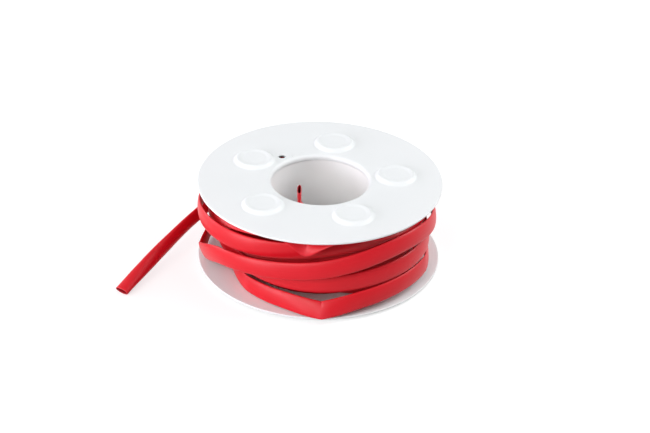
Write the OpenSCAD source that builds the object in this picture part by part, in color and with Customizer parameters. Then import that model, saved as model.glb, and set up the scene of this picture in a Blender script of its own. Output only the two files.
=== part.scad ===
// Two-flange plastic reel holding flattened heat-shrink tubing.
// Millimetres, +Z up, standing on the bumps of its lower flange.
// The origin is on the reel's axis, where the straight wall of the lower bore lip starts.

/* [Reel] */
// Diameter of both flanges
flange_d = 110; // [106:1:150]
// Overall width between the outer faces of the flanges, without the bumps
spool_w = 39.2; // [38.6:0.2:56]
// Thickness of a flange
flange_t = 1.0; // [0.8:0.1:1.4]
// Bore diameter at the flange lips
bore_d = 44; // [41:0.5:45]
// Rounding of the bore's mouth, top and bottom
mouth_r = 1.5; // [1.0:0.1:1.8]
// Straight part of a lip's wall, beside its rounding
lip_wall_l = 1.0; // [0.6:0.1:2]
// Wall of the barrel between the flanges
barrel_wall = 1.35; // [1.0:0.05:1.6]

/* [Bumps] */
// Number of raised bumps on a flange
bump_n = 5; // [3:1:5]
// Diameter of a bump at its foot
bump_d = 19.6; // [12:0.2:20]
// Height of a bump's crest over the flange
bump_h = 1.5; // [0.8:0.1:2.4]
// How far the dished middle lies below the crest
bump_dish = 0.35; // [0.1:0.05:0.6]
// Radius of the circle the bumps are on
bump_pitch_r = 34.4; // [34.4:0.1:42]
// Turn of the first bump from the X axis
bump_turn = 7.6; // [0:0.2:40]
// Diameter of the small hole for the tubing's start
start_hole_d = 3.4; // [1.5:0.1:3.4]

/* [Tubing] */
// Width of the flattened tubing
tube_w = 8.0; // [6.5:0.1:8.2]
// Thickness of the flattened tubing
tube_t = 2.0; // [1.2:0.1:2.2]
// Diameter over the inner layers that are still tightly wound
wound_d = 84; // [78:0.5:85]
// Reach of the loose tail from where it leaves the last turn
tail_reach = 78.5; // [60:0.5:120]

/* [Hidden] */
$fn = 96;
half_w = spool_w / 2;
inner_h = half_w - flange_t;
mid_z = half_w - mouth_r;
bore_r = bore_d / 2;
// the barrel's bore is a little wider than the lips that hold it
barrel_step = 0.25;
barrel_in_r = bore_r + barrel_step;
barrel_r = barrel_in_r + barrel_wall;
barrel_h = half_w - mouth_r - lip_wall_l;
// every lip runs over the barrel's end as far as the barrel's outside
lip_r = max(barrel_r, bore_r + mouth_r + 0.1);
collar_gap = 0.05;
collar_wall = 1.2;
collar_l = 3.5;
collar_in_r = barrel_r + collar_gap;
collar_r = collar_in_r + collar_wall;
core_in_r = barrel_r + 0.1;
core_relief_r = collar_r + 0.2;
core_relief_z = inner_h - collar_l - 0.2;
rim_edge = 0.3;
mouth_steps = 8;
// widths of a bump's outer slope, of its flat crest and of the slope into its dish
bump_run_l = 1.4;
bump_crest_l = 0.4;
bump_in_l = 1.0;
start_hole_r = 26.9;
start_hole_turn = 131.3;
floor_z = -half_w - bump_h;

// stations of the loose turns, every 45 degrees from 90: radius over the inner layers, height, lean
STATION_STEP = 45;
STATION_FROM = 90;
// the tables are for a reel with this half width between its flanges, in units of lay_l
LAY_HALF = 18.6;
lay_l = LAY_HALF / 18.6;
lay_lift = inner_h / 18.6;
STATIONS = [
    // first turn
    [-3.5, 6.1, 0],
    [2.8, 2.8, 0],
    [4.4, -0.1, -2],
    [5.4, -3.6, -3],
    [7.8, -4.7, 4],
    [10.4, -1.4, 8],
    [6.7, -2.8, 6],
    [4.4, -6.1, 3],
    // second turn, lowest
    [3.7, -10.4, 1],
    [3.1, -11.2, -15],
    [-0.2, -11.9, -21],
    [2.5, -14.2, 1],
    [10.4, -13.5, 13],
    [11, -10.4, 7],
    [6.9, -13.1, 4],
    [8.3, -13.7, 2],
    // third turn, rising to the right
    [8.2, -13.3, 2],
    [8, -12.8, 5],
    [8.9, -11.3, 5],
    [12.1, -0.4, 4],
    [11.1, 4.5, 14],
    [11.8, 11, 12],
    [9.7, 4.4, 5],
    [8, -2.1, 2],
    // fourth turn
    [6.2, -2.4, 0],
    [6, 0.3, -3],
    [12, 6.7, -1],
    [10.2, 9, 8],
    [3.1, 9.9, -1],
    [2.2, 12, 2],
    [3.3, 9.4, -4],
    [4.1, 7.1, -2],
    // last turn, folded under the upper flange
    [4.3, 8.2, -1],
    [4.6, 11.4, 6],
    [7.1, 7.6, 8],
    [4.8, 14.9, 67],
    [5.2, 17.6, 99],
    [5.9, 15.5, 54],
    [6.5, 12.9, 6],
    [8.2, 8.9, -2],
    [9.3, 3.1, 0],
    [9.4, -2.5, 0],
    [11, -6, 0]
];
// creases: angle, extra radius, extra height, extra lean, width before, width after, sharpness
CREASES = [
    [588, 2, 0, 0, 24, 34, 1.3],
    [632, 2.4, -1.3, 20, 22, 20, 1.6],
    [698, 1, 0.3, 0, 20, 20, 1.6],
    [910, 1.9, -4, -26, 22, 26, 1.5],
    [1704, 1.9, -4.1, -62, 15, 20, 1.6]
];
LAY_FROM = 101;
LAY_STEP = 15;
LAY_RINGS = 124;
LEAD = 8;

// the loose tail: share of its reach, share of its drop to the floor, lean, width share, thickness
TAIL = [
    [0.10, 0.025, 0, 1.00, 0],
    [0.20, 0.073, 0, 0.96, 0.25],
    [0.29, 0.150, -2, 0.91, 0.7],
    [0.40, 0.235, -5, 0.86, 1.05],
    [0.50, 0.340, -12, 0.82, 1.25],
    [0.59, 0.444, -24, 0.79, 1.4],
    [0.68, 0.553, -40, 0.77, 1.5],
    [0.77, 0.674, -58, 0.77, 1.55],
    [0.86, 0.795, -73, 0.79, 1.4],
    [0.94, 0.908, -84, 0.82, 1.25],
    [1.00, 1.000, -88, 0.85, 1.15]
];
TAIL_SIDES = 10;

// the tubing's inner end: x, y, height, turn of its width, tilt, thickness share
START_T = 1.5;
START = [
    [7.36, -25.95, 7.0, 39.8, 0, 1],
    [3.8, -21.7, 7.0, 39.8, 0, 1],
    [0.6, -17.8, 7.0, 39.8, 0, 1],
    [-4.0, -12.3, 7.0, 42, 0, 1],
    [-7.0, -8.2, 7.0, 52, 5, 1],
    [-8.3, -5.5, 7.2, 68, 22, 1.05],
    [-8.9, -4.5, 8.1, 80, 55, 1.1],
    [-9.1, -4.2, 9.7, 88, 84, 1.15],
    [-9.2, -4.0, 12.6, 90, 90, 1.3],
    [-9.2, -4.0, 16.4, 90, 90, 1.3]
];
START_SIDES = 10;
slot_clear = 0.4;
slot_run = 12;
// the hollow in the inner layers that the loose turns start from
hollow_clear = 0.5;
hollow_low = 2.5;
hollow_depth = 20;
hollow_run = 40;
// inner turns that stand proud of the others: width, then angle, radius over the inner layers, height
INNER_TURNS = [
    [7.6, [
        [166, -0.5, 7],
        [176, 1.6, 6.8],
        [186, 2.6, 6.4],
        [196, 3, 6.1],
        [206, 4.2, 5.8],
        [215, 5.6, 5.6],
        [224, 6.4, 5.3],
        [231, 6.4, 5.1],
        [238, 5.3, 5],
        [245, 4, 5],
        [252, 2.8, 5],
        [259, 1.8, 5],
        [266, 0.6, 5],
        [272, -0.5, 5]
    ]],
    [7.8, [
        [284, -5.5, -14.2],
        [294, -2.5, -14.2],
        [304, 0.2, -14.2],
        [314, 1.6, -14.2],
        [326, 1.9, -14.2],
        [345, 1.9, -14.2],
        [365, 1.9, -14.2],
        [385, 1.9, -14.2],
        [405, 1.8, -14.2],
        [425, 1.5, -14.2],
        [440, 1.2, -14.2],
        [452, 0.4, -14.2],
        [464, -2, -14.2],
        [476, -5.5, -14.2]
    ]],
    [7.8, [
        [280, -4.5, -6],
        [292, -0.5, -6],
        [302, 1.2, -6],
        [314, 1.9, -6],
        [326, 1.9, -6],
        [345, 1.9, -6],
        [365, 1.9, -6],
        [385, 1.9, -6],
        [405, 1.8, -6],
        [425, 1.4, -6],
        [440, 1, -6],
        [452, -0.5, -6],
        [464, -4.5, -6]
    ]]
];
INNER_FOOT = 9;
inner_edge = 0.8;
// how far the core's profile draws in at its foot and below its middle
core_foot_in = 5;
core_low_in = 4.5;

// ---- shared shapes ----

// the reel's middle plane, moved to where the reel stands in this frame
module in_place() {
    translate([0, 0, mid_z]) children();
}

// half of a flange's section from the bore to the rim, outer face up
module flange_section() {
    mouth = [for (i = [0:mouth_steps])
        let (a = 90 * i / mouth_steps)
        [bore_r + mouth_r - mouth_r * cos(a), half_w - mouth_r + mouth_r * sin(a)]];
    polygon(concat(
        [[bore_r, barrel_h]],
        mouth,
        [
            [flange_d / 2 - rim_edge, half_w],
            [flange_d / 2, half_w - rim_edge],
            [flange_d / 2, inner_h + rim_edge],
            [flange_d / 2 - rim_edge, inner_h],
            [collar_r, inner_h],
            [collar_r, inner_h - collar_l],
            [collar_in_r, inner_h - collar_l],
            [collar_in_r, barrel_h]
        ]
    ));
}

// one raised bump with a flat crest and a dished middle
module bump() {
    r = bump_d / 2;
    dish_r = r - bump_run_l - bump_crest_l;
    rotate_extrude()
        polygon([
            [0, -flange_t / 2],
            [r, -flange_t / 2],
            [r, 0],
            [r - bump_run_l * 0.36, bump_h * 0.22],
            [r - bump_run_l * 0.79, bump_h * 0.82],
            [r - bump_run_l, bump_h],
            [dish_r, bump_h],
            [dish_r - bump_in_l / 2, bump_h - bump_dish * 0.25],
            [dish_r - bump_in_l, bump_h - bump_dish],
            [0, bump_h - bump_dish]
        ]);
}

module flange() {
    difference() {
        union() {
            rotate_extrude() flange_section();
            for (i = [0:bump_n - 1])
                rotate([0, 0, bump_turn + 360 / bump_n * i])
                    translate([bump_pitch_r, 0, half_w])
                        bump();
        }
        rotate([0, 0, start_hole_turn])
            translate([start_hole_r, 0, inner_h - 1])
                cylinder(h = flange_t + 2, d = start_hole_d, $fn = 32);
    }
}

// closed solid through a list of rings with equal numbers of points
module swept(rings) {
    n = len(rings[0]);
    m = len(rings);
    pts = [for (r = rings) for (p = r) p];
    sides = [for (i = [0:m - 2]) for (j = [0:n - 1])
        let (k = (j + 1) % n, a = i * n + j, b = i * n + k, c = (i + 1) * n + k, d = (i + 1) * n + j)
        each [[a, c, b], [a, d, c]]];
    first = [for (j = [1:n - 2]) [0, j, j + 1]];
    last = [for (j = [1:n - 2]) [(m - 1) * n, (m - 1) * n + j + 1, (m - 1) * n + j]];
    polyhedron(points = pts, faces = concat(sides, first, last), convexity = 8);
}

// ---- how the loose turns lie ----

function between(v, u) =
    let (
        i = min(max(floor(u), 0), len(v) - 2),
        t = u - i,
        p0 = v[max(i - 1, 0)],
        p1 = v[i],
        p2 = v[i + 1],
        p3 = v[min(i + 2, len(v) - 1)]
    )
    0.5 * (2 * p1 + (p2 - p0) * t + (2 * p0 - 5 * p1 + 4 * p2 - p3) * t * t
        + (3 * p1 - p0 - 3 * p2 + p3) * t * t * t);

function crease(a, i = 0) =
    i == len(CREASES) ? [0, 0, 0] :
    let (
        c = CREASES[i],
        k = max(0, 1 - abs(a - c[0]) / (a < c[0] ? c[4] : c[5]))
    )
    [c[1], c[2], c[3]] * (k > 0 ? pow(k, c[6]) : 0) + crease(a, i + 1);

// radius, height and lean of the tubing's centre at an angle
function lay(a) =
    let (s = between(STATIONS, (a - STATION_FROM) / STATION_STEP) + crease(a))
    [wound_d / 2 + s[0] * lay_l, s[1] * lay_lift, s[2]];

function lay_point(a) = let (s = lay(a)) [s[0] * cos(a), s[0] * sin(a), s[1]];
function unit(v) = v / norm(v);

// a ring angle moves onto a crease nearer than half a step, in its own turn or in the next one
function snapped(a) =
    let (near = [for (k = [0, 360]) for (c = CREASES)
        if (abs(a + k - c[0]) < LAY_STEP / 2) c[0] - k])
    len(near) > 0 ? near[0] : a;

// six-sided section of the flat tubing: along its width, through its thickness
HEX = [[0.5, 0], [0.375, 0.5], [-0.375, 0.5], [-0.5, 0], [-0.375, -0.5], [0.375, -0.5]];

// the section placed square to a direction, leaning by an angle
function placed(p, dir, lean, w, t, shape) =
    let (
        out = unit(cross(dir, [0, 0, 1])),
        up = cross(out, dir),
        across = up * cos(lean) - out * sin(lean),
        through = out * cos(lean) + up * sin(lean)
    )
    [for (q = shape) p + across * q[0] * w + through * q[1] * t];

function lay_dir(a) = unit(lay_point(a + 0.5) - lay_point(a - 0.5));
function lay_ring(a) = placed(lay_point(a), lay_dir(a), lay(a)[2], tube_w, tube_t, HEX);

first_a = LAY_FROM;
last_a = LAY_FROM + LAY_STEP * (LAY_RINGS - 1);
// both ends run straight, level at the start and along the tail at the end
in_dir = [-sin(first_a), cos(first_a), 0];
in_point = lay_point(first_a);
in_r = lay(first_a)[0];
end_slope = -0.05;
out_dir = unit([-sin(last_a), cos(last_a), end_slope]);
out_point = lay_point(last_a);

WINDING = concat(
    [placed(in_point - in_dir * LEAD, in_dir, 0, tube_w, tube_t, HEX)],
    [placed(in_point, in_dir, 0, tube_w, tube_t, HEX)],
    [for (i = [1:LAY_RINGS - 2]) lay_ring(snapped(LAY_FROM + LAY_STEP * i))],
    [placed(out_point, out_dir, 0, tube_w, tube_t, HEX)],
    [placed(out_point + out_dir * LEAD, out_dir, 0, tube_w, tube_t, HEX)]
);

// ---- the least gap between turns, measured on points of the sections ----

// points around the section at an angle, in the plane of radius and height
function section_at(a) =
    let (s = lay(a))
    [for (i = [0:5]) for (k = [0, 0.5])
        let (q = HEX[i] * (1 - k) + HEX[(i + 1) % 6] * k, u = q[0] * tube_w, v = q[1] * tube_t)
        [s[0] - u * sin(s[2]) + v * cos(s[2]), s[1] + u * cos(s[2]) + v * sin(s[2])]];

SECTIONS = [for (i = [0:LAY_RINGS - 1]) section_at(LAY_FROM + LAY_STEP * i)];
loop_rings = 360 / LAY_STEP;
turn_gap = min([for (i = [0:LAY_RINGS - 1 - loop_rings])
    for (j = [i + loop_rings:loop_rings:LAY_RINGS - 1])
        for (p = SECTIONS[i]) for (q = SECTIONS[j]) norm(p - q)]);
echo(least_gap_between_turns_mm = turn_gap);

// ---- the tail ----

tail_clear = 0.2;
tail_t = tube_t + TAIL[len(TAIL) - 1][4] * lay_l;
tail_end_z = floor_z + tail_t / 2 + tail_clear;
tail_from = out_point + out_dir * LEAD;
tail_flat = [-sin(last_a), cos(last_a), 0];
tail_drop = tail_end_z - out_point[2];

TAIL_POINTS = concat([tail_from], [for (i = [1:len(TAIL) - 1])
    let (s = TAIL[i])
    [out_point[0] + tail_flat[0] * s[0] * tail_reach,
        out_point[1] + tail_flat[1] * s[0] * tail_reach,
        out_point[2] + tail_drop * s[1]]]);

function tail_dir(i) =
    i == 0 ? out_dir :
    i == len(TAIL) - 1 ? unit(TAIL_POINTS[i] - TAIL_POINTS[i - 1]) :
    unit(TAIL_POINTS[i + 1] - TAIL_POINTS[i - 1]);

// flat section with rounded edges
function round_section(n) = [for (j = [0:n - 1])
    let (a = 360 * j / n)
    [0.375 * sign(cos(a)) + 0.125 * cos(a), 0.5 * sin(a)]];

function len_of(p, i = 0) = i >= len(p) - 1 ? 0 : norm(p[i + 1] - p[i]) + len_of(p, i + 1);
echo(tail_length_mm = len_of(TAIL_POINTS));

TAIL_RINGS = [for (i = [0:len(TAIL) - 1])
    placed(TAIL_POINTS[i], tail_dir(i), TAIL[i][2], tube_w * TAIL[i][3], tube_t + TAIL[i][4] * lay_l,
        round_section(TAIL_SIDES))];

// ---- the inner end ----

// the inner end's table is for a bore of 44
start_scale = bore_d / 44;

function start_ring(s) =
    let (
        a = s[3],
        w = [cos(a), sin(a), 0],
        d = [-sin(a), cos(a), 0],
        t = [0, 0, 1] * cos(s[4]) - d * sin(s[4]),
        p = [s[0] * start_scale, s[1] * start_scale, s[2] * lay_lift]
    )
    [for (q = round_section(START_SIDES)) p + w * q[0] * tube_w - t * q[1] * START_T * s[5]];

// box along the inner end's straight run, from its end face inwards
module start_box(side, height, length) {
    s = START[0];
    translate([s[0] * start_scale, s[1] * start_scale, s[2] * lay_lift])
        rotate([0, 0, s[3]])
            translate([-side / 2, 0, -height / 2])
                cube([side, length, height]);
}

// section of an inner turn, with its foot in the inner layers
function inner_ring(s, w) =
    let (
        foot = wound_d / 2 - INNER_FOOT,
        r = wound_d / 2 + s[1] * lay_l,
        z = s[2] * lay_lift,
        h = w / 2
    )
    [for (p = [[foot, z + h], [r - inner_edge, z + h], [r, z + h - inner_edge],
            [r, z - h + inner_edge], [r - inner_edge, z - h], [foot, z - h]])
        [p[0] * cos(s[0]), p[0] * sin(s[0]), p[1]]];

// ---- the pieces ----

module upper_flange() {
    color("#f4f6f6") in_place() flange();
}

module lower_flange() {
    color("#f4f6f6") in_place() rotate([180, 0, 0]) flange();
}

// tube between the flanges, with a slot for the tubing's inner end
module barrel() {
    color("#e6e4e1") in_place()
        difference() {
            cylinder(h = 2 * barrel_h, r = barrel_r, center = true);
            cylinder(h = 2 * barrel_h + 2, r = barrel_in_r, center = true);
            start_box(tube_w + 2 * slot_clear, START_T + 2 * slot_clear, slot_run);
        }
}

// the inner layers of tubing, as one ring between the flanges
module tubing_core() {
    r = wound_d / 2;
    color("#b01824") in_place()
        difference() {
            union() {
                rotate_extrude()
                    polygon([
                        [core_relief_r, -inner_h],
                        [r - core_foot_in, -inner_h],
                        [r - core_low_in, -inner_h * 0.645],
                        [r, inner_h * 0.108],
                        [r, inner_h],
                        [core_relief_r, inner_h],
                        [core_relief_r, core_relief_z],
                        [core_in_r, core_relief_z],
                        [core_in_r, -core_relief_z],
                        [core_relief_r, -core_relief_z]
                    ]);
                for (t = INNER_TURNS)
                    swept([for (s = t[1]) inner_ring(s, t[0] * lay_l)]);
            }
            // where the loose turns start, out of the inner layers
            rotate([0, 0, first_a])
                translate([in_r - tube_t / 2 - hollow_clear, -LEAD, in_point[2] - tube_w / 2 - hollow_low])
                    cube([hollow_depth, hollow_run, tube_w + hollow_low + hollow_clear]);
            start_box(tube_w + 2 * slot_clear, START_T + 2 * slot_clear, slot_run);
        }
}

module tubing_winding() {
    color("#d8283a") in_place() swept(WINDING);
}

module tubing_tail() {
    color("#d8283a") in_place() swept(TAIL_RINGS);
}

module tubing_start() {
    color("#c01c2a") in_place() swept([for (s = START) start_ring(s)]);
}

upper_flange();
lower_flange();
barrel();
tubing_core();
tubing_winding();
tubing_tail();
tubing_start();
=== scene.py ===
"""Looks of a plastic reel that holds loose turns of flat red heat-shrink tubing.

Sizes and tables are in millimetres and degrees, about the middle of the reel's axis.
put() turns them into metres and lifts them to where the reel stands in the shared frame.
"""

import math

import bpy
import numpy as np
from mathutils import Matrix, Vector


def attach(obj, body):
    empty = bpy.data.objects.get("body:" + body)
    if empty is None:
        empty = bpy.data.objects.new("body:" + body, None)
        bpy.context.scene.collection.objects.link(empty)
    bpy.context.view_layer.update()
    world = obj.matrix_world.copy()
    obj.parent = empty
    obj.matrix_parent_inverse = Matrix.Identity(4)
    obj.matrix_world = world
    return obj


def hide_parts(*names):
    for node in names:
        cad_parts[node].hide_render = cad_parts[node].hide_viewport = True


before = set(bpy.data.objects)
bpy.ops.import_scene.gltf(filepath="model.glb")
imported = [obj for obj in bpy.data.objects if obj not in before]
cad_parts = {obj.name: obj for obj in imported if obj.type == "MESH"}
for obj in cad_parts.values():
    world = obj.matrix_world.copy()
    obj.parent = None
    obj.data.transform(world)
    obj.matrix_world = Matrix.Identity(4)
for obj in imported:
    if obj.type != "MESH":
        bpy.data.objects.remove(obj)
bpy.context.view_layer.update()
MM = 0.001

# ---- reel sizes, the same values as in the part's source ----

SPOOL_W = 39.2
FLANGE_R = 55.0
FLANGE_T = 1.0
BORE_R = 22.0
MOUTH_R = 1.5
LIP_WALL_L = 1.0
BARREL_STEP = 0.25
BARREL_WALL = 1.35
HALF_W = SPOOL_W / 2
INNER_H = HALF_W - FLANGE_T
MID_Z = HALF_W - MOUTH_R
BARREL_R = BORE_R + BARREL_STEP + BARREL_WALL
BARREL_H = HALF_W - MOUTH_R - LIP_WALL_L
COLLAR_GAP = 0.05
COLLAR_WALL = 1.2
COLLAR_L = 3.5
COLLAR_IN_R = BARREL_R + COLLAR_GAP
COLLAR_R = COLLAR_IN_R + COLLAR_WALL
RIM_EDGE = 0.3
BUMP_N = 5
BUMP_R = 9.8
BUMP_H = 1.5
BUMP_PITCH_R = 34.4
BUMP_TURN = 7.6
HOLE_R = 26.9
HOLE_TURN = 131.3
HOLE_D = 3.4
FLOOR_Z = -HALF_W - BUMP_H

# the looks' own softer bump: widths of its outer slope and of the slope into its dish
BUMP_SLOPE = 2.1
DISH_SLOPE = 2.3
DISH_DROP = 0.42

# ---- tubing sizes and tables, the same values as in the part's source ----

TUBE_W = 8.0
TUBE_T = 2.0
START_T = 1.5
WOUND_R = 42.0
TAIL_REACH = 78.5
LEAD = 8.0
LAY_FROM = 101.0
LAY_TO = 1946.0
END_SLOPE = -0.05

# stations of the loose turns, every 45 degrees from 90: radius over the inner layers, height, lean
STATION_FROM = 90.0
STATION_STEP = 45.0
STATIONS = np.array([
    # first turn
    [-3.5, 6.1, 0], [2.8, 2.8, 0], [4.4, -0.1, -2], [5.4, -3.6, -3],
    [7.8, -4.7, 4], [10.4, -1.4, 8], [6.7, -2.8, 6], [4.4, -6.1, 3],
    # second turn, lowest
    [3.7, -10.4, 1], [3.1, -11.2, -15], [-0.2, -11.9, -21], [2.5, -14.2, 1],
    [10.4, -13.5, 13], [11, -10.4, 7], [6.9, -13.1, 4], [8.3, -13.7, 2],
    # third turn, rising to the right
    [8.2, -13.3, 2], [8, -12.8, 5], [8.9, -11.3, 5], [12.1, -0.4, 4],
    [11.1, 4.5, 14], [11.8, 11, 12], [9.7, 4.4, 5], [8, -2.1, 2],
    # fourth turn
    [6.2, -2.4, 0], [6, 0.3, -3], [12, 6.7, -1], [10.2, 9, 8],
    [3.1, 9.9, -1], [2.2, 12, 2], [3.3, 9.4, -4], [4.1, 7.1, -2],
    # last turn, folded under the upper flange
    [4.3, 8.2, -1], [4.6, 11.4, 6], [7.1, 7.6, 8], [4.8, 14.9, 67],
    [5.2, 17.6, 99], [5.9, 15.5, 54], [6.5, 12.9, 6], [8.2, 8.9, -2],
    [9.3, 3.1, 0], [9.4, -2.5, 0], [11, -6, 0],
])
# creases: angle, extra radius, extra height, extra lean, width before, width after, sharpness
CREASES = [
    [588, 2, 0, 0, 24, 34, 1.3],
    [632, 2.4, -1.3, 20, 22, 20, 1.6],
    [698, 1, 0.3, 0, 20, 20, 1.6],
    [910, 1.9, -4, -26, 22, 26, 1.5],
    [1704, 1.9, -4.1, -62, 15, 20, 1.6],
]
# inner turns that stand proud: name, width, then angle, radius over the inner layers, height
INNER_TURNS = [
    ("left", 7.6, [
        [166, -0.5, 7], [176, 1.6, 6.8], [186, 2.6, 6.4], [196, 3, 6.1],
        [206, 4.2, 5.8], [215, 5.6, 5.6], [224, 6.4, 5.3], [231, 6.4, 5.1],
        [238, 5.3, 5], [245, 4, 5], [252, 2.8, 5], [259, 1.8, 5],
        [266, 0.6, 5], [272, -0.5, 5],
    ]),
    ("low", 7.8, [
        [284, -5.5, -14.2], [294, -2.5, -14.2], [304, 0.2, -14.2], [314, 1.6, -14.2],
        [326, 1.9, -14.2], [345, 1.9, -14.2], [365, 1.9, -14.2], [385, 1.9, -14.2],
        [405, 1.8, -14.2], [425, 1.5, -14.2], [440, 1.2, -14.2], [452, 0.4, -14.2],
        [464, -2, -14.2], [476, -5.5, -14.2],
    ]),
    ("middle", 7.8, [
        [280, -4.5, -6], [292, -0.5, -6], [302, 1.2, -6], [314, 1.9, -6],
        [326, 1.9, -6], [345, 1.9, -6], [365, 1.9, -6], [385, 1.9, -6],
        [405, 1.8, -6], [425, 1.4, -6], [440, 1, -6], [452, -0.5, -6],
        [464, -4.5, -6],
    ]),
]
INNER_FOOT = 9.0
# the loose tail: share of its reach, share of its drop, lean, width share, added thickness
TAIL = [
    [0.10, 0.025, 0, 1.00, 0],
    [0.20, 0.073, 0, 0.96, 0.25],
    [0.29, 0.150, -2, 0.91, 0.7],
    [0.40, 0.235, -5, 0.86, 1.05],
    [0.50, 0.340, -12, 0.82, 1.25],
    [0.59, 0.444, -24, 0.79, 1.4],
    [0.68, 0.553, -40, 0.77, 1.5],
    [0.77, 0.674, -58, 0.77, 1.55],
    [0.86, 0.795, -73, 0.79, 1.4],
    [0.94, 0.908, -84, 0.82, 1.25],
    [1.00, 1.000, -88, 0.85, 1.15],
]
TAIL_CLEAR = 0.2
# the tubing's inner end: x, y, height, turn of its width, tilt, thickness share
START = [
    [7.36, -25.95, 7.0, 39.8, 0, 1],
    [3.8, -21.7, 7.0, 39.8, 0, 1],
    [0.6, -17.8, 7.0, 39.8, 0, 1],
    [-4.0, -12.3, 7.0, 42, 0, 1],
    [-7.0, -8.2, 7.0, 52, 5, 1],
    [-8.3, -5.5, 7.2, 68, 22, 1.05],
    [-8.9, -4.5, 8.1, 80, 55, 1.1],
    [-9.1, -4.2, 9.7, 88, 84, 1.15],
    [-9.2, -4.0, 12.6, 90, 90, 1.3],
    [-9.2, -4.0, 16.4, 90, 90, 1.3],
]

# ---- camera, its places in metres ----

CAM_AT = Vector((0.0, -0.79734, 0.49334))
CAM_TO = Vector((0.0, 0.0, 0.02006))
CAM_ROLL = math.radians(1.382)
CAM_SENSOR_W = 36.0
CAM_LENS = 113.2062
CAM_SHIFT = (0.008743, -0.005464)

cam_data = bpy.data.cameras.new("view_camera")
cam_data.sensor_width = CAM_SENSOR_W
cam_data.lens = CAM_LENS
cam_data.shift_x, cam_data.shift_y = CAM_SHIFT
cam = bpy.data.objects.new("view_camera", cam_data)
bpy.context.scene.collection.objects.link(cam)
aim = (CAM_TO - CAM_AT).to_track_quat("-Z", "Y").to_matrix().to_4x4()
cam.matrix_world = Matrix.Translation(CAM_AT) @ aim @ Matrix.Rotation(CAM_ROLL, 4, "Z")
bpy.context.scene.camera = cam


# ---- mesh helpers ----

# how far the texture runs on along a piece for each millimetre
UV_PER_MM = 0.01
# lets the last row of a list in, whatever the rounding
TINY = 1e-9


def put(name, verts, faces, loop_uv=None, values=None):
    """A mesh object from points about the reel's middle, smooth but for flat end caps."""
    data = bpy.data.meshes.new(name)
    co = np.array(verts, float)
    co[:, 2] += MID_Z
    data.from_pydata((co * MM).tolist(), [], faces)
    data.validate()
    # end caps have sharp rims, so that a side's shading runs on to the next piece
    data.polygons.foreach_set("use_smooth", [len(p.vertices) <= 4 for p in data.polygons])
    rims = {key for p in data.polygons if len(p.vertices) > 4 for key in p.edge_keys}
    if rims:
        data.edges.foreach_set("use_edge_sharp", [e.key in rims for e in data.edges])
    if loop_uv is not None:
        layer = data.uv_layers.new(name="UVMap")
        flat = np.array([c for f in loop_uv for c in f], float).ravel()
        layer.data.foreach_set("uv", flat)
    for key, vals in (values or {}).items():
        attribute = data.attributes.new(key, "FLOAT", "POINT")
        attribute.data.foreach_set("value", np.array(vals, np.float32))
    data.update()
    obj = bpy.data.objects.new(name, data)
    bpy.context.scene.collection.objects.link(obj)
    return obj


def evaluated_mesh(obj):
    """A plain mesh of the object as its modifiers shape it."""
    deps = bpy.context.evaluated_depsgraph_get()
    return bpy.data.meshes.new_from_object(obj.evaluated_get(deps))


def unit(v):
    return v / np.linalg.norm(v)


def on_circle(r, a, z=0.0):
    """The point at radius r and angle a, at height z."""
    t = math.radians(a)
    return np.array([r * math.cos(t), r * math.sin(t), z])


def skin(rings):
    """Faces and loop UVs of a closed tube through rings that run clockwise seen along its way."""
    m, n = len(rings), len(rings[0])
    mids = np.array([r.mean(0) for r in rings])
    run = np.r_[0, np.cumsum(np.linalg.norm(np.diff(mids, axis=0), axis=1))] * UV_PER_MM
    faces, uvs = [], []
    for i in range(m - 1):
        for j in range(n):
            k = (j + 1) % n
            faces.append((i * n + j, i * n + k, (i + 1) * n + k, (i + 1) * n + j))
            v0, v1 = j / n, (j + 1) / n
            uvs.append([(run[i], v0), (run[i], v1), (run[i + 1], v1), (run[i + 1], v0)])
    faces.append(tuple(reversed(range(n))))
    uvs.append([(run[0], (n - 1 - j) / n) for j in range(n)])
    faces.append(tuple((m - 1) * n + j for j in range(n)))
    uvs.append([(run[-1], j / n) for j in range(n)])
    return faces, uvs


def between(rows, u):
    """The row at place u of a list, on a smooth curve through all rows."""
    n = len(rows)
    i = min(max(int(math.floor(u)), 0), n - 2)
    t = u - i
    p0, p1, p2, p3 = rows[max(i - 1, 0)], rows[i], rows[i + 1], rows[min(i + 2, n - 1)]
    return 0.5 * (2 * p1 + (p2 - p0) * t + (2 * p0 - 5 * p1 + 4 * p2 - p3) * t * t
                  + (3 * p1 - p0 - 3 * p2 + p3) * t ** 3)


def smooth_rows(rows, per):
    """Rows run through by one smooth line, with `per` steps between neighbours."""
    v = np.array(rows, float)
    at = np.arange(0, len(v) - 1 + TINY, 1.0 / per)
    return np.array([between(v, u) for u in at])


# ---- the tubing's section and its pieces ----

# sides of the section, wall at an open end, and rings from one row of a table to the next
SIDES = 28
WALL = 0.35
ROW_STEPS = 6


def flat_section(n):
    """Outline of flattened tubing, width along x and thickness along y, each from -0.5 to 0.5."""
    a = np.linspace(0, 2 * math.pi, n, endpoint=False)
    return np.c_[np.cos(a), np.sin(a)] * 0.5


SECTION = flat_section(SIDES)


def placed(p, d, lean, w, t):
    """The tubing's section at point p, square to direction d and leaning by an angle."""
    out = unit(np.cross(d, [0, 0, 1.0]))
    up = np.cross(out, d)
    a = math.radians(lean)
    across = up * math.cos(a) - out * math.sin(a)
    through = out * math.cos(a) + up * math.sin(a)
    return p + np.outer(SECTION[:, 0] * w, across) + np.outer(SECTION[:, 1] * t, through)


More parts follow.
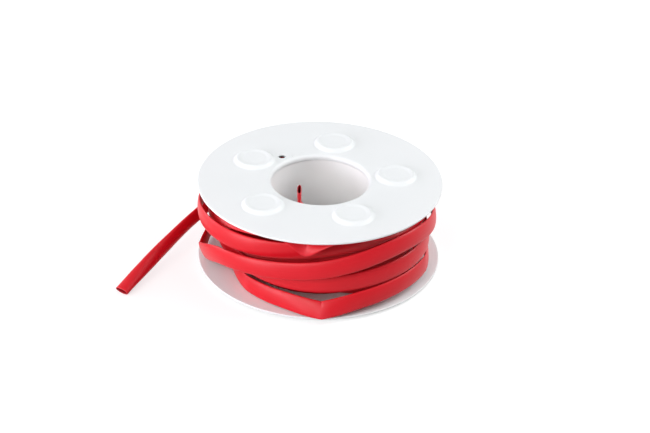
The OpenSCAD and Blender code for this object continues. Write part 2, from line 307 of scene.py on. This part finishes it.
def tubing(name, outside, fold_highlight, inside=()):
    """A piece of tubing from its outer rings and, where it ends open, the rings of its inside, which
    get painted shade.
    """
    rings = [*outside, *inside]
    faces, uvs = skin(rings)
    values = {
        # painted highlight where the tubing is creased or bent
        "fold_highlight": np.repeat([*fold_highlight] + [0.0] * len(inside), SIDES),
        # painted shade inside an open end
        "inside": np.repeat([0.0] * len(outside) + [1.0] * len(inside), SIDES),
    }
    return put(name, np.concatenate(rings), faces, uvs, values)


# ---- how the loose turns lie ----

def lay(a):
    """Radius, height and lean of the tubing's middle at an angle."""
    s = between(STATIONS, (a - STATION_FROM) / STATION_STEP)
    for at, dr, dz, dl, before, after, power in CREASES:
        k = max(0.0, 1 - abs(a - at) / (before if a < at else after))
        s = s + np.array([dr, dz, dl]) * k ** power
    return np.array([WOUND_R + s[0], s[1], s[2]])


def lay_point(a):
    r, z, _ = lay(a)
    return on_circle(r, a, z)


def lay_dir(a, reach=0.3):
    return unit(lay_point(a + reach) - lay_point(a - reach))


def tangent(a, slope=0.0):
    """The way round the reel at an angle, rising by a slope."""
    t = math.radians(a)
    return unit(np.array([-math.sin(t), math.cos(t), slope]))


in_dir, in_point = tangent(LAY_FROM), lay_point(LAY_FROM)
out_dir, out_point = tangent(LAY_TO, END_SLOPE), lay_point(LAY_TO)


# ---- the loose tail, the only free end ----

# how many rings deep its mouth is open
MOUTH_ROWS = 14


def tail_points():
    """Points of the tail's route, from the last turn down to where its end lies."""
    tail_t = TUBE_T + TAIL[-1][4]
    drop = FLOOR_Z + tail_t / 2 + TAIL_CLEAR - out_point[2]
    level = tangent(LAY_TO)
    route = [out_point + out_dir * LEAD]
    for reach, fall, *_ in TAIL[1:]:
        route.append(out_point + level * reach * TAIL_REACH + np.array([0, 0, drop * fall]))
    return route


def row_dir(rows, i):
    """The way that a list of rows runs at row i."""
    return unit(rows[min(i + 1, len(rows) - 1)][:3] - rows[max(i - 1, 0)][:3])


def tail_ring(i, wall=0.0):
    d = out_dir if i == 0 else row_dir(tail_rows, i)
    row = tail_rows[i]
    return placed(row[:3], d, row[3], row[4] - 2 * wall, row[5] - 2 * wall)


tail_rows = smooth_rows(
    [[*p, s[2], TUBE_W * s[3], TUBE_T + s[4]] for p, s in zip(tail_points(), TAIL)], ROW_STEPS)
end = len(tail_rows) - 1
tail = tubing(
    "loose_tail",
    [tail_ring(i) for i in range(end + 1)],
    [0.0] * (end + 1),
    [tail_ring(end - back, WALL) for back in range(MOUTH_ROWS)],
)

# ---- the five loose turns ----

RING_STEP = 2.5
# where rings lie on the straight stretch at either end
LEAD_SHARES = (0.0, 0.33, 0.66, 1.0)
# rings at a crease, how far it keeps the others off, how wide its pinch and painted highlight reach
# and how much it is pinched
CREASE_RINGS = (-1.6, -0.55, 0.0, 0.55, 1.6)
CREASE_CLEAR = 1.9
CREASE_LOOK = 3.2
CREASE_PINCH = 0.25


def ring_angles():
    """Angles of the rings between the two ends, closer together at a crease."""
    angles = set(np.round(np.arange(LAY_FROM, LAY_TO, RING_STEP), 3)) - {LAY_FROM}
    for at, *_ in CREASES:
        angles = {a for a in angles if abs(a - at) > CREASE_CLEAR}
        angles |= {at + d for d in CREASE_RINGS}
    return sorted(angles)


def crease_near(a):
    """1 on a crease, falling to 0 beside it."""
    return max(max(0.0, 1 - abs(a - c[0]) / CREASE_LOOK) for c in CREASES)


def turn_ring(a):
    thickness = TUBE_T * (1 - CREASE_PINCH * crease_near(a))
    return placed(lay_point(a), lay_dir(a), lay(a)[2], TUBE_W, thickness)


def lead_ring(point, d, run):
    """A ring of the straight stretch at either end, level across."""
    return placed(point + d * LEAD * run, d, 0, TUBE_W, TUBE_T)


angles = ring_angles()
no_fold_highlight = [0.0] * len(LEAD_SHARES)
turns = tubing(
    "loose_turns",
    [lead_ring(in_point, in_dir, -k) for k in reversed(LEAD_SHARES)]
    + [turn_ring(a) for a in angles]
    + [lead_ring(out_point, out_dir, k) for k in LEAD_SHARES],
    # painted highlight on the creases, none on the straight ends
    no_fold_highlight + [crease_near(a) for a in angles] + no_fold_highlight,
)

# ---- the inner end in the bore ----

# how many rings deep its mouth is open
OPEN_ROWS = 11
# the tilt at which its bend gets the most painted highlight, and how far from it the painted highlight
# reaches
BEND_TILT = 50
BEND_REACH = 45.0


def start_ring(row, wall=0.0):
    """A ring from place, turn of its width, tilt and thickness share."""
    turned, tilt = math.radians(row[3]), math.radians(row[4])
    across = np.array([math.cos(turned), math.sin(turned), 0])
    d = np.array([-math.sin(turned), math.cos(turned), 0])
    through = d * math.sin(tilt) - np.array([0, 0, 1.0]) * math.cos(tilt)
    w, t = TUBE_W - 2 * wall, START_T * row[5] - 2 * wall
    return row[:3] + np.outer(SECTION[:, 0] * w, across) + np.outer(SECTION[:, 1] * t, through)


start_rows = smooth_rows(START, ROW_STEPS)
start_piece = tubing(
    "inner_end",
    [start_ring(row) for row in start_rows],
    # painted highlight on the bend, strongest at BEND_TILT
    [max(0.0, 1 - abs(row[4] - BEND_TILT) / BEND_REACH) for row in start_rows],
    [start_ring(row, WALL) for row in start_rows[:-OPEN_ROWS - 1:-1]],
)


# ---- flanges ----

REEL_STEPS = 432
MOUTH_STEPS = 12
RIM_STEPS = 6
DRILL_SIDES = 40
# rings of a flange's section: up the lip, over the bumps, out to the rim and back underneath
LIP_RINGS = (0, 0.4, 0.8)
BUMP_RINGS = np.arange(23.9, 45.2, 0.32)
RIM_RINGS = (46, 48, 50, 52, 53.6, 54.4)
UNDER_RINGS = (54, 52, 48, 42, 36, 30, 27)
# small bevels where the collar round the barrel leaves the flange and at its end
COLLAR_ROOT = 0.3
COLLAR_END = 0.2


def smooth(x):
    x = np.clip(x, 0, 1)
    return x * x * (3 - 2 * x)


def bump_height(x, y):
    """Height over a flange's outer face: a soft ring with a dished middle, five times."""
    h = np.zeros_like(x)
    for i in range(BUMP_N):
        cx, cy, _ = on_circle(BUMP_PITCH_R, BUMP_TURN + 360 / BUMP_N * i)
        d = np.hypot(x - cx, y - cy)
        rise = BUMP_H * smooth((BUMP_R - d) / BUMP_SLOPE)
        dish = DISH_DROP * smooth((BUMP_R - BUMP_SLOPE - d) / DISH_SLOPE)
        h = np.maximum(h, rise - dish)
    return h


def arc(r, z, radius, first, last, steps):
    """Section points on an arc about (r, z), with no bumps on them."""
    way = [math.radians(first + (last - first) * i / steps) for i in range(steps + 1)]
    return [(r + radius * math.cos(a), z + radius * math.sin(a), 0) for a in way]


def flange_section():
    """Closed section of a flange, anticlockwise: radius, height and share of the bumps."""
    rows = [(BORE_R, BARREL_H + up, 0) for up in LIP_RINGS]
    rows += arc(BORE_R + MOUTH_R, HALF_W - MOUTH_R, MOUTH_R, 180, 90, MOUTH_STEPS)
    rows += [(r, HALF_W, 1) for r in BUMP_RINGS]
    rows += [(r, HALF_W, 0) for r in RIM_RINGS]
    rows += arc(FLANGE_R - RIM_EDGE, HALF_W - RIM_EDGE, RIM_EDGE, 90, 0, RIM_STEPS)
    rows += arc(FLANGE_R - RIM_EDGE, INNER_H + RIM_EDGE, RIM_EDGE, 0, -90, RIM_STEPS)
    rows += [(r, INNER_H, 0) for r in UNDER_RINGS]
    rows += [
        (COLLAR_R + COLLAR_ROOT, INNER_H, 0),
        (COLLAR_R, INNER_H - COLLAR_ROOT, 0),
        (COLLAR_R, INNER_H - COLLAR_L + COLLAR_END, 0),
        (COLLAR_R - COLLAR_END, INNER_H - COLLAR_L, 0),
        (COLLAR_IN_R, INNER_H - COLLAR_L, 0),
        (COLLAR_IN_R, BARREL_H, 0),
    ]
    return rows


def revolve(rows, steps):
    """Points and faces of a closed section turned about Z."""
    a = np.linspace(0, 2 * math.pi, steps, endpoint=False)
    pts = []
    for r, z, share in rows:
        x, y = r * np.cos(a), r * np.sin(a)
        heights = np.full(steps, float(z))
        if share:
            heights = heights + bump_height(x, y) * share
        pts.append(np.c_[x, y, heights])
    faces = []
    for i in range(len(rows)):
        here, there = i * steps, (i + 1) % len(rows) * steps
        for j in range(steps):
            k = (j + 1) % steps
            faces.append((here + j, there + j, there + k, here + k))
    return np.concatenate(pts), faces


def drill(obj, at, r, low, high):
    """Cuts a round hole along Z through a piece."""
    n = DRILL_SIDES
    ring = [at + on_circle(r, 360 * i / n, low) for i in range(n)]
    pts = np.array(ring + [p + [0, 0, high - low] for p in ring])
    faces = [(i, (i + 1) % n, n + (i + 1) % n, n + i) for i in range(n)]
    faces += [tuple(reversed(range(n))), tuple(range(n, 2 * n))]
    tool = put("drill", pts, faces)
    mod = obj.modifiers.new("hole", "BOOLEAN")
    mod.operation, mod.solver, mod.object = "DIFFERENCE", "EXACT", tool
    cut = evaluated_mesh(obj)
    obj.modifiers.clear()
    obj.data = cut
    bpy.data.objects.remove(tool)


def turned_over(obj, name):
    """The same piece on the other side of the reel's middle."""
    co = np.zeros(len(obj.data.vertices) * 3)
    obj.data.vertices.foreach_get("co", co)
    co = co.reshape(-1, 3) / MM - [0, 0, MID_Z]
    return put(name, co * [1, -1, -1], [tuple(p.vertices) for p in obj.data.polygons])


upper = put("flange_top", *revolve(flange_section(), REEL_STEPS))
drill(upper, on_circle(HOLE_R, HOLE_TURN), HOLE_D / 2, INNER_H - 1, HALF_W + 2)
lower = turned_over(upper, "flange_bottom")

# ---- hair-thin marks left by the mould on the upper face ----

# name, x, y, radius, first angle, sweep
MOULD_MARKS = [
    ("mould_mark_front", -2.9, -25.9, 1.1, 10, 150),
    ("mould_mark_back", -12.2, 21.4, 1.0, 150, 120),
]
MARK_SIDES = 8
MARK_STEPS = 14
# half the thickness at the ends, what its middle adds, and how deep its axis lies in the face
MARK_THIN = 0.03
MARK_FULL = 0.22
MARK_SUNK = 0.02
# how far the taper runs on past the last ring, in steps
MARK_OVER = 0.7


def mould_mark(name, x, y, r, start, sweep):
    """A thin raised arc, thickest in the middle of its run."""
    b = np.linspace(0, 2 * math.pi, MARK_SIDES, endpoint=False)
    rings = []
    for i in range(MARK_STEPS + 1):
        radial = on_circle(1.0, start + sweep * i / MARK_STEPS)
        p = np.array([x, y, HALF_W - MARK_SUNK]) + radial * r
        run = (i + MARK_OVER) / (MARK_STEPS + 2 * MARK_OVER)
        size = MARK_THIN + MARK_FULL * math.sin(math.pi * run)
        rings.append(p + np.outer(np.cos(b) * size, [0, 0, 1.0]) + np.outer(np.sin(b) * size, radial))
    faces, _ = skin(rings)
    return put(name, np.concatenate(rings), faces)


marks = [mould_mark(*row) for row in MOULD_MARKS]


# ---- materials ----

# contrast of the cloudiness and of the patches along the tubing: a factor and what is added
CLOUD_CONTRAST = (2.4, -0.7)
PATCH_CONTRAST = (2.6, -0.85)
# noise on the tubing: stretch of its fine lines, size and share of its soft patches
LINE_STRETCH = (1.2, 46.0, 1.0)
PATCH_SCALE = 55.0
PATCH_SHARE = 0.7
# how much the lines change the gloss, the share of painted highlight on folds and the share of painted
# shade inside an open end
LINE_ROUGHNESS = 0.22
FOLD_HIGHLIGHT = 0.2
INSIDE_SHADE_SHARE = 0.55
# colour of the painted shade inside an open end
INSIDE_SHADE_COLOUR = (0.09, 0.004, 0.008, 1)


def node(tree, kind, **inputs):
    """A new node, with the inputs that are given set; an underscore stands for a space."""
    made = tree.nodes.new(kind)
    for key, value in inputs.items():
        made.inputs[key.replace("_", " ")].default_value = value
    return made


def math_node(tree, op, a, b, c=None, clamp=False):
    """The output of a Math node whose inputs are numbers or other outputs."""
    made = tree.nodes.new("ShaderNodeMath")
    made.operation = op
    made.use_clamp = clamp
    for socket, v in zip(made.inputs, (a, b, c)):
        if isinstance(v, (int, float)):
            socket.default_value = v
        elif v is not None:
            tree.links.new(v, socket)
    return made.outputs[0]


def mix_colour(tree, share, a, b):
    """Colour a turning into colour b with a share, each a colour or an output."""
    made = tree.nodes.new("ShaderNodeMix")
    made.data_type = "RGBA"
    made.clamp_factor = True
    tree.links.new(share, made.inputs[0])
    for socket, v in ((made.inputs[6], a), (made.inputs[7], b)):
        if isinstance(v, tuple):
            socket.default_value = v
        else:
            tree.links.new(v, socket)
    return made.outputs[2]


def finish_group(name, inputs):
    """A finish with named inputs that puts out a colour, a roughness and a height."""
    tree = bpy.data.node_groups.new(name, "ShaderNodeTree")
    for key, kind, value in inputs:
        socket = tree.interface.new_socket(key, in_out="INPUT", socket_type=kind)
        socket.default_value = value
    for key, kind in (("Colour", "NodeSocketColor"), ("Roughness", "NodeSocketFloat"),
                      ("Height", "NodeSocketFloat")):
        tree.interface.new_socket(key, in_out="OUTPUT", socket_type=kind)
    return tree, tree.nodes.new("NodeGroupInput").outputs, tree.nodes.new("NodeGroupOutput").inputs


def moulded_group():
    """Faint cloudiness and the fine skin of moulded plastic."""
    tree, given, made = finish_group("moulded_plastic", [
        ("Colour", "NodeSocketColor", (0.8, 0.8, 0.8, 1)),
        ("Cloud Colour", "NodeSocketColor", (0.75, 0.75, 0.75, 1)),
        ("Cloud Scale", "NodeSocketFloat", 30.0),
        ("Grain Scale", "NodeSocketFloat", 900.0),
        ("Roughness", "NodeSocketFloat", 0.4),
        ("Roughness Spread", "NodeSocketFloat", 0.08),
    ])
    link = tree.links.new
    where = node(tree, "ShaderNodeTexCoord")
    cloud = node(tree, "ShaderNodeTexNoise", Detail=3.0)
    grain = node(tree, "ShaderNodeTexNoise", Detail=2.0)
    for noise, scale in ((cloud, "Cloud Scale"), (grain, "Grain Scale")):
        link(where.outputs["Object"], noise.inputs["Vector"])
        link(given[scale], noise.inputs["Scale"])
    cloudy = math_node(tree, "MULTIPLY_ADD", cloud.outputs["Fac"], *CLOUD_CONTRAST, clamp=True)
    link(mix_colour(tree, cloudy, given["Colour"], given["Cloud Colour"]), made["Colour"])
    even = math_node(tree, "SUBTRACT", grain.outputs["Fac"], 0.5)
    spread = math_node(tree, "MULTIPLY", even, given["Roughness Spread"])
    link(math_node(tree, "ADD", given["Roughness"], spread), made["Roughness"])
    link(grain.outputs["Fac"], made["Height"])
    return tree


def share_of(tree, attribute, amount):
    """A piece's own 0 to 1 attribute, times an amount."""
    read = tree.nodes.new("ShaderNodeAttribute")
    read.attribute_name = attribute
    return math_node(tree, "MULTIPLY", read.outputs["Fac"], amount, clamp=True)


def drawn_group():
    """Fine lines along drawn tubing, with a painted highlight on folds and bends and painted shade
    inside open ends.
    """
    tree, given, made = finish_group("drawn_tubing", [
        ("Colour", "NodeSocketColor", (0.7, 0.02, 0.05, 1)),
        ("Deep Colour", "NodeSocketColor", (0.5, 0.01, 0.02, 1)),
        ("Fold Highlight Colour", "NodeSocketColor", (0.9, 0.15, 0.2, 1)),
        ("Roughness", "NodeSocketFloat", 0.36),
        ("Line Share", "NodeSocketFloat", 0.3),
    ])
    link = tree.links.new
    where = node(tree, "ShaderNodeTexCoord")
    stretch = node(tree, "ShaderNodeMapping", Scale=LINE_STRETCH)
    link(where.outputs["UV"], stretch.inputs["Vector"])
    lines = node(tree, "ShaderNodeTexNoise", Scale=1.0, Detail=4.0)
    link(stretch.outputs["Vector"], lines.inputs["Vector"])
    soft = node(tree, "ShaderNodeTexNoise", Scale=PATCH_SCALE, Detail=3.0)
    link(where.outputs["Object"], soft.inputs["Vector"])
    lined = math_node(tree, "MULTIPLY", lines.outputs["Fac"], given["Line Share"])
    patches = math_node(tree, "MULTIPLY", soft.outputs["Fac"], PATCH_SHARE)
    both = math_node(tree, "ADD", lined, patches)
    deep = math_node(tree, "MULTIPLY_ADD", both, *PATCH_CONTRAST, clamp=True)
    colour = mix_colour(tree, deep, given["Colour"], given["Deep Colour"])
    # painted highlight on folds
    colour = mix_colour(tree, share_of(tree, "fold_highlight", FOLD_HIGHLIGHT), colour, given["Fold Highlight Colour"])
    # painted shade inside open ends
    colour = mix_colour(tree, share_of(tree, "inside", INSIDE_SHADE_SHARE), colour, INSIDE_SHADE_COLOUR)
    link(colour, made["Colour"])
    even = math_node(tree, "SUBTRACT", lines.outputs["Fac"], 0.5)
    rough = math_node(tree, "MULTIPLY", even, LINE_ROUGHNESS)
    link(math_node(tree, "ADD", given["Roughness"], rough), made["Roughness"])
    link(lined, made["Height"])
    return tree


def material(name, finish, values, bump, distance, constants):
    """A material from a finish group, its values and the shader's own constants."""
    mat = bpy.data.materials.new(name)
    mat.use_nodes = True
    tree = mat.node_tree
    shader = tree.nodes["Principled BSDF"]
    group = tree.nodes.new("ShaderNodeGroup")
    group.node_tree = finish
    for key, value in values.items():
        group.inputs[key].default_value = value
    tree.links.new(group.outputs["Colour"], shader.inputs["Base Color"])
    tree.links.new(group.outputs["Roughness"], shader.inputs["Roughness"])
    relief = node(tree, "ShaderNodeBump", Strength=bump, Distance=distance)
    tree.links.new(group.outputs["Height"], relief.inputs["Height"])
    tree.links.new(relief.outputs["Normal"], shader.inputs["Normal"])
    for key, value in constants.items():
        shader.inputs[key].default_value = value
    return mat


MOULDED = moulded_group()
DRAWN = drawn_group()
FLANGE_MAT = material(
    "reel_white", MOULDED,
    {"Colour": (0.862, 0.885, 0.888, 1), "Cloud Colour": (0.848, 0.872, 0.875, 1),
     "Cloud Scale": 26.0, "Grain Scale": 1400.0, "Roughness": 0.42, "Roughness Spread": 0.1},
    0.05, 0.0001,
    {"Subsurface Weight": 0.12, "Subsurface Radius": (0.004, 0.004, 0.004),
     "Subsurface Scale": 0.6, "IOR": 1.5},
)
BARREL_MAT = material(
    "barrel_white", MOULDED,
    {"Colour": (0.91, 0.912, 0.905, 1), "Cloud Colour": (0.89, 0.892, 0.885, 1),
     "Cloud Scale": 38.0, "Grain Scale": 700.0, "Roughness": 0.55, "Roughness Spread": 0.15},
    0.08, 0.0001,
    {"IOR": 1.48},
)
TUBE_MAT = material(
    "tubing_red", DRAWN,
    {"Colour": (0.70, 0.006, 0.017, 1), "Deep Colour": (0.63, 0.004, 0.012, 1),
     "Fold Highlight Colour": (0.86, 0.07, 0.10, 1), "Roughness": 0.40, "Line Share": 0.3},
    0.12, 0.0002,
    {"IOR": 1.45, "Specular IOR Level": 0.4},
)
# the same red tubing, darker and duller: painted shade on the inner layers and proud inner turns
SHADED_INNER_MAT = material(
    "tubing_red_inner_shaded", DRAWN,
    {"Colour": (0.60, 0.012, 0.020, 1), "Deep Colour": (0.50, 0.008, 0.014, 1),
     "Fold Highlight Colour": (0.66, 0.04, 0.06, 1), "Roughness": 0.46, "Line Share": 0.3},
    0.12, 0.0002,
    {"IOR": 1.45, "Specular IOR Level": 0.25},
)

# ---- inner layers: wound turns over a plain body ----

# name, number of turns, first radius, last radius, rise, height of the first turn
WOUND_LAYERS = [
    ("inner_turns_high", 2.2, 41.0, 40.6, 13.2, 1.3),
    ("inner_turns_low", 2.1, 36.1, 40.5, 16.4, -14.3),
]
WOUND_W = 7.9
WOUND_T = 1.9
BODY_STEPS = 180
BODY_HOLLOW = 7
# section of the plain body: radius and height
BODY_SECTION = [
    # round the barrel and the lower flange's collar
    (24.0, -14.8), (25.2, -15.2), (25.2, -INNER_H),
    # outer side, narrower towards its foot
    (35.6, -INNER_H), (36.0, -12), (39.6, 0.0), (39.8, 2.4), (39.8, INNER_H),
    # hollow under the upper flange
    (29.6, INNER_H), (29.4, INNER_H - BODY_HOLLOW), (25.6, INNER_H - BODY_HOLLOW),
    # round the upper flange's collar
    (25.2, 15.2), (24.0, 14.8),
]


def wound_tree():
    """Flat turns of tubing along a spiral, sizes as named inputs."""
    tree = bpy.data.node_groups.new("wound_turns", "GeometryNodeTree")
    sockets = tree.interface
    sockets.new_socket("Geometry", in_out="INPUT", socket_type="NodeSocketGeometry")
    for name in ("Turns", "Start Radius", "End Radius", "Height", "Base Z", "Width", "Thickness"):
        sockets.new_socket(name, in_out="INPUT", socket_type="NodeSocketFloat")
    sockets.new_socket("Material", in_out="INPUT", socket_type="NodeSocketMaterial")
    sockets.new_socket("Geometry", in_out="OUTPUT", socket_type="NodeSocketGeometry")
    given = tree.nodes.new("NodeGroupInput").outputs
    made = tree.nodes.new("NodeGroupOutput").inputs
    link = tree.links.new
    spiral = node(tree, "GeometryNodeCurveSpiral", Resolution=72)
    link(given["Turns"], spiral.inputs["Rotations"])
    for name in ("Start Radius", "End Radius", "Height"):
        link(given[name], spiral.inputs[name])
    up = node(tree, "GeometryNodeSetCurveNormal")
    up.mode = "Z_UP"
    link(spiral.outputs["Curve"], up.inputs["Curve"])
    shift = node(tree, "ShaderNodeCombineXYZ")
    link(given["Base Z"], shift.inputs["Z"])
    lift = node(tree, "GeometryNodeSetPosition")
    link(up.outputs["Curve"], lift.inputs["Geometry"])
    link(shift.outputs["Vector"], lift.inputs["Offset"])
    ring = node(tree, "GeometryNodeCurvePrimitiveCircle", Resolution=14, Radius=0.5)
    size = node(tree, "ShaderNodeCombineXYZ", Z=1.0)
    link(given["Thickness"], size.inputs["X"])
    link(given["Width"], size.inputs["Y"])
    squash = node(tree, "GeometryNodeTransform")
    link(ring.outputs["Curve"], squash.inputs["Geometry"])
    link(size.outputs["Vector"], squash.inputs["Scale"])
    sweep = node(tree, "GeometryNodeCurveToMesh", Fill_Caps=True)
    link(lift.outputs["Geometry"], sweep.inputs["Curve"])
    link(squash.outputs["Geometry"], sweep.inputs["Profile Curve"])
    shade = node(tree, "GeometryNodeSetShadeSmooth")
    link(sweep.outputs["Mesh"], shade.inputs["Geometry"])
    real = node(tree, "GeometryNodeRealizeInstances")
    link(shade.outputs["Geometry"], real.inputs["Geometry"])
    paint = node(tree, "GeometryNodeSetMaterial")
    link(real.outputs["Geometry"], paint.inputs["Geometry"])
    link(given["Material"], paint.inputs["Material"])
    link(paint.outputs["Geometry"], made["Geometry"])
    return tree


def wound(tree, name, turns_n, first_r, last_r, rise, base_z):
    """Wound turns as a plain mesh, made by the spiral tree."""
    carrier = put(name, [[0, 0, 0]], [])
    mod = carrier.modifiers.new("wound", "NODES")
    mod.node_group = tree
    given = {
        "Turns": turns_n, "Start Radius": first_r * MM, "End Radius": last_r * MM,
        "Height": rise * MM, "Base Z": (base_z + MID_Z) * MM,
        "Width": WOUND_W * MM, "Thickness": WOUND_T * MM, "Material": SHADED_INNER_MAT,
    }
    for item in tree.interface.items_tree:
        if item.in_out == "INPUT" and item.name in given:
            mod[item.identifier] = given[item.name]
    made = evaluated_mesh(carrier)
    bpy.data.objects.remove(carrier)
    obj = bpy.data.objects.new(name, made)
    bpy.context.scene.collection.objects.link(obj)
    return obj


WOUND_TREE = wound_tree()
layer_high, layer_low = [wound(WOUND_TREE, *row) for row in WOUND_LAYERS]
layer_body = put("inner_body", *revolve([(r, z, 0) for r, z in BODY_SECTION], BODY_STEPS))

# ---- inner turns that stand proud ----

PROUD_STEPS = 5
# rounding of a proud turn's two edges: outwards, along its width, and the angles of its points
EDGE_OUT = 0.9
EDGE_ALONG = 1.4
EDGE_ANGLES = (70, 45, 20)
# where an edge begins, how far the middle swells, its share of the width, and the foot's taper
EDGE_START = 1.0
SWELL = 0.05
SWELL_SHARE = 0.3
FOOT_TAPER = 0.1


def proud_section(r, h):
    """Outline of a proud turn as radius and place along its width, h being half that width."""
    foot = WOUND_R - INNER_FOOT
    half = [(foot, h - FOOT_TAPER), (r - EDGE_START, h)]
    for k in EDGE_ANGLES:
        b = math.radians(k)
        half.append((r - EDGE_OUT + EDGE_OUT * math.cos(b), h - EDGE_ALONG + EDGE_ALONG * math.sin(b)))
    half.append((r + SWELL, h * SWELL_SHARE))
    return half + [(out, -z) for out, z in reversed(half)]


def proud_turn(name, width, rows):
    """An inner turn that stands proud, with its foot in the inner layers."""
    rings = []
    for a, r, z in smooth_rows(rows, PROUD_STEPS):
        section = proud_section(WOUND_R + r, width / 2)
        rings.append(np.array([on_circle(out, a, z + along) for out, along in section]))
    faces, uvs = skin(rings)
    return put(name, np.concatenate(rings), faces, uvs)


proud = [proud_turn("inner_turn_" + n, w, rows) for n, w, rows in INNER_TURNS]

# ---- which piece has which material ----

for obj in (layer_body, *proud):
    obj.data.materials.append(SHADED_INNER_MAT)
for obj in (tail, turns, start_piece):
    obj.data.materials.append(TUBE_MAT)
for obj in (upper, lower, *marks):
    obj.data.materials.clear()
    obj.data.materials.append(FLANGE_MAT)
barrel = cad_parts["barrel"]
barrel.data.materials.clear()
barrel.data.materials.append(BARREL_MAT)

# ---- each piece joins the reel's body, and the CAD parts that these pieces show instead are hidden ----

for obj in (tail, turns, start_piece, upper, lower, layer_high, layer_low, layer_body, *proud,
            *marks):
    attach(obj, "root")
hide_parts("tubing_tail")
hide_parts("tubing_winding")
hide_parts("tubing_start")
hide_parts("upper_flange")
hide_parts("lower_flange")
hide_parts("tubing_core")

# ---- floor and background, in metres ----

FLOOR_REACH = 3
FLOOR_GREY = 0.5
FLOOR_GLOW = 0.66
WORLD_LIGHT = 0.16


def looked_at(tree):
    """1 for a ray that shows the background, straight or in gloss or glass, and 0 for light."""
    ray = tree.nodes.new("ShaderNodeLightPath").outputs
    shown = math_node(tree, "MAXIMUM", ray["Is Camera Ray"], ray["Is Glossy Ray"])
    return math_node(tree, "MAXIMUM", shown, ray["Is Transmission Ray"])


def pale_floor_material():
    """Pale grey that reads as white paper to the camera, without more light on the reel."""
    mat = bpy.data.materials.new("floor_pale")
    mat.use_nodes = True
    tree = mat.node_tree
    shader = tree.nodes["Principled BSDF"]
    shader.inputs["Base Color"].default_value = (FLOOR_GREY, FLOOR_GREY, FLOOR_GREY, 1)
    shader.inputs["Roughness"].default_value = 0.9
    shader.inputs["Specular IOR Level"].default_value = 0.1
    glow = node(tree, "ShaderNodeEmission", Color=(1, 1, 1, 1))
    strength = math_node(tree, "MULTIPLY", looked_at(tree), FLOOR_GLOW)
    tree.links.new(strength, glow.inputs["Strength"])
    both = tree.nodes.new("ShaderNodeAddShader")
    tree.links.new(shader.outputs["BSDF"], both.inputs[0])
    tree.links.new(glow.outputs["Emission"], both.inputs[1])
    tree.links.new(both.outputs["Shader"], tree.nodes["Material Output"].inputs["Surface"])
    return mat


def pale_floor():
    mesh = bpy.data.meshes.new("floor")
    e, z = FLOOR_REACH, (FLOOR_Z + MID_Z) * MM
    mesh.from_pydata([(-e, -e, z), (e, -e, z), (e, e, z), (-e, e, z)], [], [(0, 1, 2, 3)])
    mesh.materials.append(pale_floor_material())
    obj = bpy.data.objects.new("floor", mesh)
    bpy.context.scene.collection.objects.link(obj)
    return obj


def white_world():
    """White where it is seen, and a dim cool light where it isn't."""
    world = bpy.data.worlds.new("studio")
    world.use_nodes = True
    tree = world.node_tree
    dim = tree.nodes["Background"]
    dim.inputs["Color"].default_value = (0.96, 0.98, 1.0, 1)
    dim.inputs["Strength"].default_value = WORLD_LIGHT
    white = node(tree, "ShaderNodeBackground", Color=(1, 1, 1, 1), Strength=1.0)
    swap = tree.nodes.new("ShaderNodeMixShader")
    tree.links.new(looked_at(tree), swap.inputs["Fac"])
    tree.links.new(dim.outputs["Background"], swap.inputs[1])
    tree.links.new(white.outputs["Background"], swap.inputs[2])
    tree.links.new(swap.outputs["Shader"], tree.nodes["World Output"].inputs["Surface"])
    return world


floor = pale_floor()
bpy.context.scene.world = white_world()

# ---- soft studio lamps, in metres and watts ----

# name, place, size, power, colour
LAMPS = [
    ("front_left", (-0.55, -1.0, 0.75), 0.7, 7.4, (1.0, 0.995, 0.99)),
    ("left_back", (-1.1, 0.45, 0.25), 0.9, 5.5, (0.97, 0.92, 1.0)),
    ("low_left", (-1.05, -0.62, 0.12), 0.8, 13.0, (0.95, 0.92, 1.0)),
    ("above_left", (-0.7, -0.35, 1.15), 0.9, 1.8, (1.0, 1.0, 1.0)),
    ("right", (1.1, 0.3, 0.8), 0.9, 13.0, (0.98, 0.99, 1.0)),
    ("above_right", (0.65, 0.1, 1.2), 0.9, 2.2, (0.98, 0.99, 1.0)),
]
LAMPS_AIM = Vector((0, 0, 0.01))


def soft_lamp(name, at, size, power, colour):
    data = bpy.data.lights.new(name, "AREA")
    data.shape = "DISK"
    data.size = size
    data.energy = power
    data.color = colour
    obj = bpy.data.objects.new(name, data)
    bpy.context.scene.collection.objects.link(obj)
    obj.location = at
    obj.rotation_euler = (LAMPS_AIM - Vector(at)).to_track_quat("-Z", "Y").to_euler()


for row in LAMPS:
    soft_lamp(*row)

bpy.context.scene.view_settings.view_transform = "Standard"
